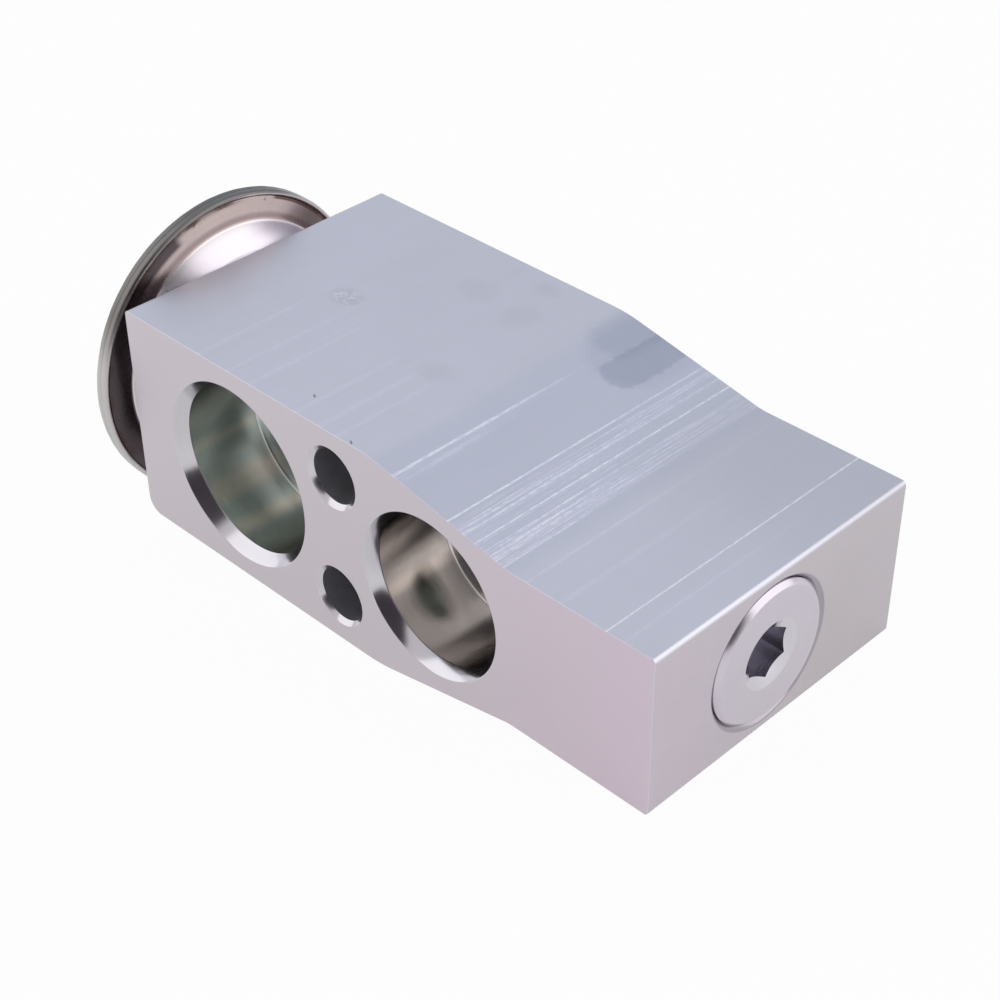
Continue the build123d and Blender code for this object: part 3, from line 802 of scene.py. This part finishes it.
def cross_cutters():
    """Ports, passages and mounting holes, which run along Y."""
    ports = [
        (SUCTION[0], 0.0, port_profile(SUCTION, SUCTION_STOP)),
        (SUCTION[0], 0.0, turn_round(port_profile(SUCTION, SUCTION_STOP))),
        (LIQUID_OUT[0], 0.0, port_profile(LIQUID_OUT)),
        (LIQUID_IN[0], 0.0, turn_round(port_profile(LIQUID_IN))),
    ]
    rear_start = BLOCK_DEPTH - PASSAGE_START
    passages = [
        (SUCTION[0], 0.0, stepped((PASSAGE_START, rear_start, SUCTION_PASSAGE))),
        (LIQUID_OUT[0], 0.0, stepped((PASSAGE_START, AXIS_Y + OUTLET_PAST_AXIS, LIQUID_PASSAGE))),
        (LIQUID_IN[0], 0.0, stepped((AXIS_Y, rear_start, LIQUID_PASSAGE))),
    ]
    holes = [(HOLE_PLACE, side * HOLE_HALF_PITCH, bolt_profile()) for side in (-1, 1)]
    cutters = []
    for group, steps in ((ports + passages, TURN_STEPS), (holes, HOLE_STEPS)):
        for place, z, profile in group:
            name = f"cutter_{len(cutters)}"
            cutters.append(lathe(name, profile, "Y", (HEAD_END + place, z), steps))
    return cutters


def axis_cutters():
    """Bores for the head's neck, the rod and the screw, which run along the valve axis."""
    screw = stepped(*SPRING_CHAMBER, *SCREW_BORE)[:-1] + list(SCREW_MOUTH)
    cutters = []
    for name, profile in (("neck", stepped(*NECK_BORE)), ("rod", stepped(*ROD_BORE)), ("screw", screw)):
        cutters.append(lathe(f"cutter_{name}", from_head_end(profile), "X", (AXIS_Y, 0.0)))
    return cutters


def from_head_end(profile):
    """Profile with its places measured from the block's head end."""
    return [(HEAD_END + place, radius) for place, radius in profile]


def port_region(place, y, z, depth):
    """Finish of a place in a pipe port, or none outside the ports."""
    for port, reach in ((SUCTION, True), (LIQUID_OUT, y < AXIS_Y), (LIQUID_IN, y > AXIS_Y)):
        centre, mouth, bore = port
        off = math.hypot(place - centre, z)
        if not reach or off >= mouth + NEAR_WALL or depth <= ON_FACE:
            continue
        if depth < MOUTH_DEPTH + ON_WALL and off > bore - ON_WALL:
            return "chamfer"
        if off < bore + NEAR_WALL and depth < PORT_DEPTH + 1:
            return "suction_bore" if port is SUCTION else "liquid_bore"
    return None


def hole_region(place, z, depth):
    """Finish of a place in a mounting hole, or none outside the holes."""
    for side in (-1, 1):
        off = math.hypot(place - HOLE_PLACE, z - side * HOLE_HALF_PITCH)
        if off < HOLE_MOUTH_RADIUS + NEAR_WALL:
            return "chamfer" if depth < 0.55 else "hole"
    return None


def passage_region(place, y, z, normal):
    """Finish of a place in the bores along the valve axis, or none outside them."""
    across = math.hypot(y - AXIS_Y, z)
    inside = abs(z) < NARROW - 0.3 and 0.5 < y < BLOCK_DEPTH - 0.5
    if not inside or across >= SCREW_MOUTH_RADIUS + ON_WALL:
        return None
    wall = abs(normal.x) < SQUARE
    bore_end, bore_radius = SCREW_BORE[-1][1:]
    in_mouth = place > bore_end - ON_WALL
    if in_mouth and across > bore_radius - ON_WALL and wall:
        return "screw_mouth"
    between = ON_FACE <= place <= SCREW_END - HEAD_END - ON_FACE
    return "passage" if between and (wall or not in_mouth) else None


def end_region(normal):
    """Finish of the block's ends and of its skin."""
    if normal.x < -SQUARE:
        return "seat_end"
    return "end" if normal.x > SQUARE else "skin"


def block_region(centre, normal):
    """Finish of a place on the block."""
    x, y, z = centre
    place = x - HEAD_END
    depth = min(y, BLOCK_DEPTH - y)
    if abs(normal.y) > SQUARE and depth < ON_FACE:
        return "face"
    cut_away = port_region(place, y, z, depth) or hole_region(place, z, depth)
    return cut_away or passage_region(place, y, z, normal) or end_region(normal)


def screw_region(centre, normal):
    """Finish of a place on the screw."""
    across = math.hypot(centre.y - AXIS_Y, centre.z)
    behind_socket = centre.x < SCREW_FACE - SOCKET_DEPTH - NEAR_WALL
    if behind_socket or across > COUNTERSINK_EDGE or abs(normal.x) > SQUARE:
        return "turned"
    return "socket" if abs(normal.x) < 0.3 else "countersink"


class BlockSettings(bpy.types.PropertyGroup):
    """Looks of the aluminium block."""
    face_colour: FloatVectorProperty(
        name="Face colour", description="Colour of the milled connection faces", subtype="COLOR",
        default=(0.695, 0.645, 0.68), min=0, max=1)
    skin_colour: FloatVectorProperty(
        name="Skin colour", description="Colour of the extruded skin", subtype="COLOR",
        default=(0.725, 0.715, 0.775), min=0, max=1)
    end_colour: FloatVectorProperty(
        name="End colour", description="Colour of the sawn ends", subtype="COLOR",
        default=(0.68, 0.635, 0.66), min=0, max=1)
    bore_colour: FloatVectorProperty(
        name="Bore colour", description="Colour of the bored walls", subtype="COLOR",
        default=(0.84, 0.84, 0.84), min=0, max=1)
    edge_break: FloatProperty(
        name="Edge break", description="Rounding of the connection faces' edges", unit="LENGTH",
        default=EDGE_BREAK * MM, min=0)


class HeadSettings(bpy.types.PropertyGroup):
    """Looks of the power head."""
    colour: FloatVectorProperty(
        name="Shell colour", description="Colour of the pressed shells", subtype="COLOR",
        default=(0.66, 0.64, 0.64), min=0, max=1)
    roughness: FloatProperty(
        name="Shell roughness", description="Roughness of the shells", default=0.28, min=0, max=1)
    bead_wave: FloatProperty(
        name="Bead wave", description="Unevenness of the weld bead", unit="LENGTH", default=0.03 * MM, min=0)


class ScrewSettings(bpy.types.PropertyGroup):
    """Sizes and looks of the adjusting screw."""
    colour: FloatVectorProperty(
        name="Screw colour", description="Colour of the turned screw", subtype="COLOR",
        default=(0.72, 0.67, 0.74), min=0, max=1)
    thread_pitch: FloatProperty(
        name="Thread pitch", description="Pitch of the screw thread", unit="LENGTH", default=1.0 * MM, min=0)
    thread_depth: FloatProperty(
        name="Thread depth", description="Depth of the screw thread", unit="LENGTH", default=0.6 * MM, min=0)
    across_flats: FloatProperty(
        name="Across flats", description="Width of the hexagon socket", unit="LENGTH",
        default=5.05 * MM, min=0)


class StageSettings(bpy.types.PropertyGroup):
    """Camera and light."""
    lens: FloatProperty(
        name="Lens", description="Focal length in millimetres on a 36 mm sensor", default=72.84, min=1)
    sensor: FloatProperty(name="Sensor", description="Sensor width in millimetres", default=36.0, min=1)
    left_light: FloatProperty(
        name="Left light", description="Power of the left lamp, in watts", default=1.0, min=0)
    right_light: FloatProperty(
        name="Right light", description="Power of the right lamp, in watts", default=0.4, min=0)
    surround: FloatProperty(
        name="Surround", description="Strength of the light all round", default=0.75, min=0)


def dressed(obj, body, replaced):
    """Says which body and CAD nodes a piece stands for."""
    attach(obj, body)
    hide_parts(*replaced)


class VALVE_OT_block(bpy.types.Operator):
    """Build the machined aluminium block"""
    bl_idname = "valve.block"
    bl_label = "Block"

    def execute(self, context):
        settings = context.scene.valve_block
        corners = [
            ((0, -WIDE), LOWER_HEAD_CORNER_RADIUS),
            ((SHOULDER[0], -WIDE), SHOULDER_RADII[0]),
            ((SHOULDER[1], -NARROW), SHOULDER_RADII[1]),
            ((SCREW_END - HEAD_END, -NARROW), CORNER_RADIUS),
            ((SCREW_END - HEAD_END, NARROW), CORNER_RADIUS),
            ((SHOULDER[1], NARROW), SHOULDER_RADII[1]),
            ((SHOULDER[0], WIDE), SHOULDER_RADII[0]),
            ((0, WIDE), CORNER_RADIUS),
        ]
        corners = [((x + HEAD_END, z), radius) for (x, z), radius in corners]
        block = prism("block", rounded_outline(corners), 0.0, BLOCK_DEPTH, settings.edge_break / MM)
        cut(block, cross_cutters() + axis_cutters())
        bore = tuple(settings.bore_colour)
        materials = {
            "face": milled_face("milled face", tuple(settings.face_colour), 0.34),
            "skin": extruded_skin("extruded skin", tuple(settings.skin_colour), 0.36),
            "end": sawn_end("sawn end", tuple(settings.end_colour), 0.38),
            "seat_end": turned_metal("turned end", tuple(settings.end_colour), 0.14, 2.0, ring_height=0.002),
            "chamfer": bored_wall("port chamfer", (0.70, 0.68, 0.71), 0.17, 3.0),
            # After a port bore's colour come its painted reflection streaks, and for the liquid bore a
            # painted dark reflection
            "suction_bore": bored_wall(
                "suction bore", scaled(bore, (0.72, 0.80, 0.785)), 0.25, 30.0, 0.003,
                (SUCTION[0], (1.0, 0.90, 0.79), ((-135, 13, 1.0), (-106, 11, 0.8), (-168, 7, 0.5)))),
            "liquid_bore": bored_wall(
                "liquid bore", scaled(bore, (0.80, 0.775, 0.76)), 0.15, 30.0, 0.003,
                (LIQUID_OUT[0], (0.98, 0.92, 0.86), ((-150, 9, 0.8),)), (5.8, -133, 1.9, 26)),
            "hole": bored_wall("bolt hole", (0.72, 0.72, 0.75), 0.4),
            # The screw mouth's dark colour is painted shade of the narrow gap round the screw
            "screw_mouth": turned_metal("screw mouth", (0.46, 0.43, 0.47), 0.2),
            "passage": bored_wall("passage", (0.72, 0.76, 0.74), 0.35),
        }
        wear_materials(block, materials, block_region)
        soften(block, 28)
        dressed(block, "block", ["valve_body"])
        return {"FINISHED"}


def bead_wave(depth):
    """Small unevenness of the weld bead round the rim, always inwards."""
    random.seed(4)
    phases = [(n, random.uniform(0, 2 * math.pi)) for n in BEAD_WAVES]

    def wave(radius, angle):
        """How far a point at a radius and angle moves out."""
        if radius < RIM_RADIUS - 0.6:
            return 0.0
        swing = sum(math.sin(n * angle + phase) for n, phase in phases) / len(phases)
        return -depth * (1 + swing)

    return wave


def bead_half(rim_plane):
    """Points from the seam between the shells over the lower half of the bead."""
    seam = [(rim_plane + 0.01, RIM_RADIUS - 0.02), (rim_plane + 0.06, RIM_RADIUS)]
    middle = (rim_plane + SHEET - BEAD_ROUND, RIM_RADIUS - BEAD_ROUND)
    return seam + arc(middle, BEAD_ROUND, 90, 0, 8)


def lower_shell_profile(rim_plane):
    """Bead with the groove beside it, sloping annulus, dish, neck and hollow, as a loop."""
    front = rim_plane + SHEET
    toe = RIM_RADIUS - BEAD_ROUND
    groove_end = (front - 0.12, toe - 0.4)
    ring, foot, seated_edge = from_head_end((RING, DISH_FOOT, SEATED_EDGE))
    profile = bead_half(rim_plane)
    profile += [(front - 0.02, toe - 0.08), (front - 0.13, toe - 0.2), (front - 0.16, toe - 0.28), groove_end]
    profile += bend(groove_end, ring, foot, 0.6, 8)
    profile += bend(ring, foot, seated_edge, 0.4, 4)
    profile += [seated_edge, *from_head_end(NECK + HOLLOW)]
    return [*profile, (rim_plane + 0.1, RIM_RADIUS - 0.65)]


def upper_shell_profile(rim_plane):
    """Bead, rim and low dome with the hollow under it, as a loop."""
    foot_radius, edge_radius, hole_radius = DOME_RADII
    top = rim_plane - DOME_RISE
    back = rim_plane - SHEET
    toe = RIM_RADIUS - BEAD_ROUND
    profile = [(2 * rim_plane - place, radius) for place, radius in bead_half(rim_plane)]
    profile += bend((back, toe), (back, foot_radius), (top, edge_radius), 0.6, 6)
    profile += bend((back, foot_radius), (top, edge_radius), (top, hole_radius), 1.5, 8)
    profile += [(top, hole_radius), (top + DOME_SHEET, hole_radius), (top + DOME_SHEET, DOME_HOLLOW_RADII[0])]
    return [*profile, (rim_plane - 0.1, DOME_HOLLOW_RADII[1])]


class VALVE_OT_head(bpy.types.Operator):
    """Build the power head's two shells with their weld bead"""
    bl_idname = "valve.head"
    bl_label = "Power head"

    def execute(self, context):
        settings = context.scene.valve_head
        rim_plane = HEAD_END + RIM_PLACE
        wave = bead_wave(settings.bead_wave / MM)
        material = pressed_shell("pressed shell", tuple(settings.colour), settings.roughness)
        for name, profile, node in (
            ("head_lower", lower_shell_profile(rim_plane), "head_lower_shell"),
            ("head_upper", upper_shell_profile(rim_plane), "head_upper_shell"),
        ):
            shell = lathe(name, profile, "X", (AXIS_Y, 0.0), HEAD_STEPS, True, wave)
            shell.data.materials.append(material)
            soften(shell, 35)
            dressed(shell, "block", [node])
        return {"FINISHED"}


def thread(name, start, end, outer, depth, pitch):
    """Helical thread as a closed sleeve, with flat crests and roots, fading out at both ends."""
    steps = THREAD_STEPS
    rows_per_turn, fade_rows, sleeve_wall = 12, 6, 0.6
    rows = round((end - start) / pitch * rows_per_turn)
    vertices, faces = [], []
    inner = outer - depth - sleeve_wall
    for r in range(rows + 1):
        place = start + (end - start) * r / rows
        fade = min(1.0, min(r, rows - r) / fade_rows)
        for i in range(steps):
            angle = 2 * math.pi * i / steps
            phase = (place / pitch + i / steps) % 1.0
            crest = min(1.0, max(0.0, 2.4 * abs(phase - 0.5) - 0.1))
            radius = outer - depth * (1 - crest * fade)
            vertices.append(on_axis("X", (AXIS_Y, 0.0), place, radius, angle))
    for place in (end, start):
        for i in range(steps):
            vertices.append(on_axis("X", (AXIS_Y, 0.0), place, inner, 2 * math.pi * i / steps))
    count = rows + 3
    for r in range(count):
        for i in range(steps):
            j = (i + 1) % steps
            s = (r + 1) % count
            faces.append((r * steps + i, r * steps + j, s * steps + j, s * steps + i))
    obj = new_object(name, vertices, faces)
    outward(obj)
    return obj


def screw_profile(thread_root):
    """Turned outline of the screw from its back over the seal groove and thread to the countersink."""
    under_thread = thread_root - THREAD_UNDERCUT
    sleeve_seat = ((THREAD_ENDS[0], under_thread), (THREAD_RUN_OUT, under_thread))
    outline = SCREW_BACK + SEAL_GROOVE + SCREW_LAND + sleeve_seat + SCREW_FRONT + (COUNTERSINK,)
    ease, mouth = COUNTERSINK
    tip = SCREW_FACE - ease - mouth / math.tan(COUNTERSINK_ANGLE)
    return [*((SCREW_FACE - depth, radius) for depth, radius in outline), (tip, 0.0)]


def hexagon_cutter(across_flats):
    """Six-sided bar that cuts the socket."""
    corner = across_flats / math.sqrt(3)
    vertices = []
    for place in (SCREW_FACE - SOCKET_DEPTH, SCREW_FACE + PROUD):
        for k in range(6):
            vertices.append(on_axis("X", (AXIS_Y, 0.0), place, corner, math.radians(30 + 60 * k)))
    faces = [tuple(range(6)), tuple(range(11, 5, -1))]
    faces += [(k, (k + 1) % 6, (k + 1) % 6 + 6, k + 6) for k in range(6)]
    cutter = new_object("cutter_hex", vertices, faces)
    outward(cutter)
    return cutter


class VALVE_OT_screw(bpy.types.Operator):
    """Build the adjusting screw with its hexagon socket and thread"""
    bl_idname = "valve.screw"
    bl_label = "Adjusting screw"

    def execute(self, context):
        settings = context.scene.valve_screw
        depth = settings.thread_depth / MM
        body = lathe("screw", screw_profile(SCREW_RADIUS - depth), "X", (AXIS_Y, 0.0))
        cut(body, [hexagon_cutter(settings.across_flats / MM)])
        materials = {
            "turned": turned_metal("turned screw", tuple(settings.colour), 0.22, 4.0),
            "socket": turned_metal("broached socket", (0.62, 0.61, 0.66), 0.2, 3.0, ring_height=0.02),
            # The countersink is a little lighter than the screw as a painted highlight
            "countersink": turned_metal("countersink", (0.76, 0.73, 0.78), 0.16),
        }
        wear_materials(body, materials, screw_region)
        soften(body, 25)
        dressed(body, "adjusting_screw", ["adjusting_screw"])
        start, end = (SCREW_FACE - below for below in THREAD_ENDS)
        ridge = thread("screw_thread", start, end, SCREW_RADIUS, depth, settings.thread_pitch / MM)
        ridge.data.materials.append(materials["turned"])
        ridge.data.shade_smooth()
        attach(ridge, "adjusting_screw")
        return {"FINISHED"}


class VALVE_OT_inner(bpy.types.Operator):
    """Give the pieces inside the valve their finishes"""
    bl_idname = "valve.inner"
    bl_label = "Inner pieces"

    def execute(self, context):
        steel = turned_metal("turned steel", (0.62, 0.62, 0.63), 0.25)
        finishes = {
            turned_metal("diaphragm foil", (0.72, 0.72, 0.73), 0.2, 2.0): ["diaphragm"],
            turned_metal("turned brass", (0.72, 0.55, 0.28), 0.3): ["stop_plate"],
            turned_metal("aluminium rod", (0.80, 0.80, 0.81), 0.28): ["sensing_rod"],
            steel: ["charge_plug", "backup_washer", "push_pin", "orifice_seat", "valve_ball", "ball_carrier"],
            drawn_wire("spring steel", (0.55, 0.55, 0.56), 0.3): ["push_nut", "damping_ring", "valve_spring"],
            moulded("moulded resin", (0.42, 0.48, 0.45), 0.45): ["rod_sleeve"],
            moulded("seal rubber", (0.025, 0.025, 0.026), 0.55): ["head_seal", "rod_seal", "screw_seal"],
        }
        for material, nodes in finishes.items():
            for node in nodes:
                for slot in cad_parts[node].material_slots:
                    slot.material = material
        return {"FINISHED"}


def area_lamp(name, place, size, power, colour=WHITE):
    """Square area lamp that looks at the valve, with its place and side in millimetres."""
    data = bpy.data.lights.new(name, "AREA")
    data.shape = "SQUARE"
    data.size = size * MM
    data.energy = power
    data.color = colour
    lamp = bpy.data.objects.new(name, data)
    lamp.location = mm(*place)
    lamp.rotation_euler = (mm(*LAMP_TARGET) - mm(*place)).to_track_quat("-Z", "Y").to_euler()
    bpy.context.scene.collection.objects.link(lamp)


def camera_matrix():
    """Camera place and turn that give the photograph's view."""
    level = math.cos(CAMERA_ELEVATION)
    back = Vector((
        math.sin(CAMERA_AZIMUTH) * level, -math.cos(CAMERA_AZIMUTH) * level, math.sin(CAMERA_ELEVATION)))
    right = Vector(CAMERA_RIGHT)
    right = (right - back * right.dot(back)).normalized()
    up = back.cross(right)
    turn = Matrix((right, up, back)).transposed().to_4x4()
    return Matrix.Translation(mm(*CAMERA_PLACE)) @ turn


def patch(nodes, direction, inner, outer):
    """One near a direction of the sky, zero away from it, with the edges in degrees."""
    place = nodes.node("ShaderNodeTexCoord", output="Generated")
    toward = nodes.node("ShaderNodeVectorMath", {"operation": "NORMALIZE"}, [place])
    aim = tuple(Vector(direction).normalized())
    dot = nodes.node("ShaderNodeVectorMath", {"operation": "DOT_PRODUCT"}, [toward, aim], output="Value")
    return dot.rise(math.cos(math.radians(outer)), math.cos(math.radians(inner)))


def backdrop_world(strength):
    """White to the camera; a pale room, darker behind the camera, for light and reflections."""
    world = bpy.data.worlds.new("studio")
    bpy.context.scene.world = world
    world.use_nodes = True
    nodes = Nodes(world.node_tree)
    room = ROOM_COLOUR
    for direction, inner, outer, colour in ROOM_PATCHES:
        room = nodes.mix(patch(nodes, direction, inner, outer), room, colour)
    light = nodes.node("ShaderNodeBackground", None, {"Color": room, "Strength": strength})
    seen = nodes.node("ShaderNodeBackground", None, {"Color": WHITE, "Strength": 1.0})
    camera = nodes.node("ShaderNodeLightPath", output="Is Camera Ray")
    mixed = nodes.node("ShaderNodeMixShader", None, [camera, light, seen])
    nodes.node("ShaderNodeOutputWorld", None, [mixed])


def floor_material():
    """Pale floor that is white to the camera, with a faint shadow."""
    shader = Shader("pale floor", (0.85, 0.84, 0.85), 0.8, 0.0)
    glow = shader.node("ShaderNodeEmission", None, {"Color": WHITE, "Strength": 1.0})
    seen = shader.node("ShaderNodeLightPath", output="Is Camera Ray")
    mirrored = shader.node("ShaderNodeLightPath", output="Is Glossy Ray")
    share = seen * 0.96 + mirrored * 0.5
    mixed = shader.node("ShaderNodeMixShader", None, [share, Wire(shader, shader.bsdf.outputs[0]), glow])
    shader.put(shader.output.inputs[0], mixed)
    return shader.material


def floor_under_valve():
    """Floor just under the head's rim and the block's lower edge at the screw end."""
    rim = (HEAD_END + RIM_PLACE, -RIM_RADIUS)
    foot = (SCREW_END - CORNER_RADIUS, -NARROW)
    slope = (foot[1] - rim[1]) / (foot[0] - rim[0])
    clearance = 0.02
    corners = []
    for along, across in ((-1, -1), (1, -1), (1, 1), (-1, 1)):
        reach = along * FLOOR_HALF
        corners.append((rim[0] + reach, across * FLOOR_HALF, rim[1] + slope * reach - clearance))
    return new_object("floor", corners, [(0, 1, 2, 3)], [floor_material()])


class VALVE_OT_stage(bpy.types.Operator):
    """Set up the floor, the light and the camera"""
    bl_idname = "valve.stage"
    bl_label = "Stage"

    def execute(self, context):
        settings = context.scene.valve_stage
        floor_under_valve()
        backdrop_world(settings.surround)
        area_lamp("lamp_left", (-520, -265, 350), 760, settings.left_light, (1.0, 0.98, 0.99))
        area_lamp("lamp_right", (275, 220, 215), 430, settings.right_light)
        data = bpy.data.cameras.new("camera")
        data.lens = settings.lens
        data.sensor_width = settings.sensor
        data.clip_start = 0.001
        data.clip_end = 10.0
        camera = bpy.data.objects.new("camera", data)
        camera.matrix_world = camera_matrix()
        context.scene.collection.objects.link(camera)
        context.scene.camera = camera
        context.scene.view_settings.view_transform = "Standard"
        return {"FINISHED"}


class VALVE_PT_panel(bpy.types.Panel):
    """The valve's settings and build steps."""
    bl_idname = "VALVE_PT_panel"
    bl_label = "Block expansion valve"
    bl_space_type = "VIEW_3D"
    bl_region_type = "UI"
    bl_category = "Valve"

    def draw(self, context):
        for group, operator in GROUPS:
            box = self.layout.box()
            if group:
                settings = getattr(context.scene, group)
                for name in settings.bl_rna.properties.keys():
                    if name not in ("rna_type", "name"):
                        box.prop(settings, name)
            box.operator(operator)


GROUPS = (
    ("valve_block", "valve.block"),
    ("valve_head", "valve.head"),
    ("valve_screw", "valve.screw"),
    (None, "valve.inner"),
    ("valve_stage", "valve.stage"),
)
SETTINGS = {
    "valve_block": BlockSettings,
    "valve_head": HeadSettings,
    "valve_screw": ScrewSettings,
    "valve_stage": StageSettings,
}
CLASSES = (
    *SETTINGS.values(),
    VALVE_OT_block,
    VALVE_OT_head,
    VALVE_OT_screw,
    VALVE_OT_inner,
    VALVE_OT_stage,
    VALVE_PT_panel,
)


def register():
    """Adds the classes and the scene's settings."""
    for item in CLASSES:
        bpy.utils.register_class(item)
    for name, group in SETTINGS.items():
        setattr(bpy.types.Scene, name, PointerProperty(type=group))


def unregister():
    """Takes the settings and the classes out again."""
    for name in SETTINGS:
        delattr(bpy.types.Scene, name)
    for item in reversed(CLASSES):
        bpy.utils.unregister_class(item)


def main():
    """Builds every piece in order."""
    register()
    bpy.ops.valve.block()
    bpy.ops.valve.head()
    bpy.ops.valve.screw()
    bpy.ops.valve.inner()
    bpy.ops.valve.stage()


if __name__ == "__main__":
    main()
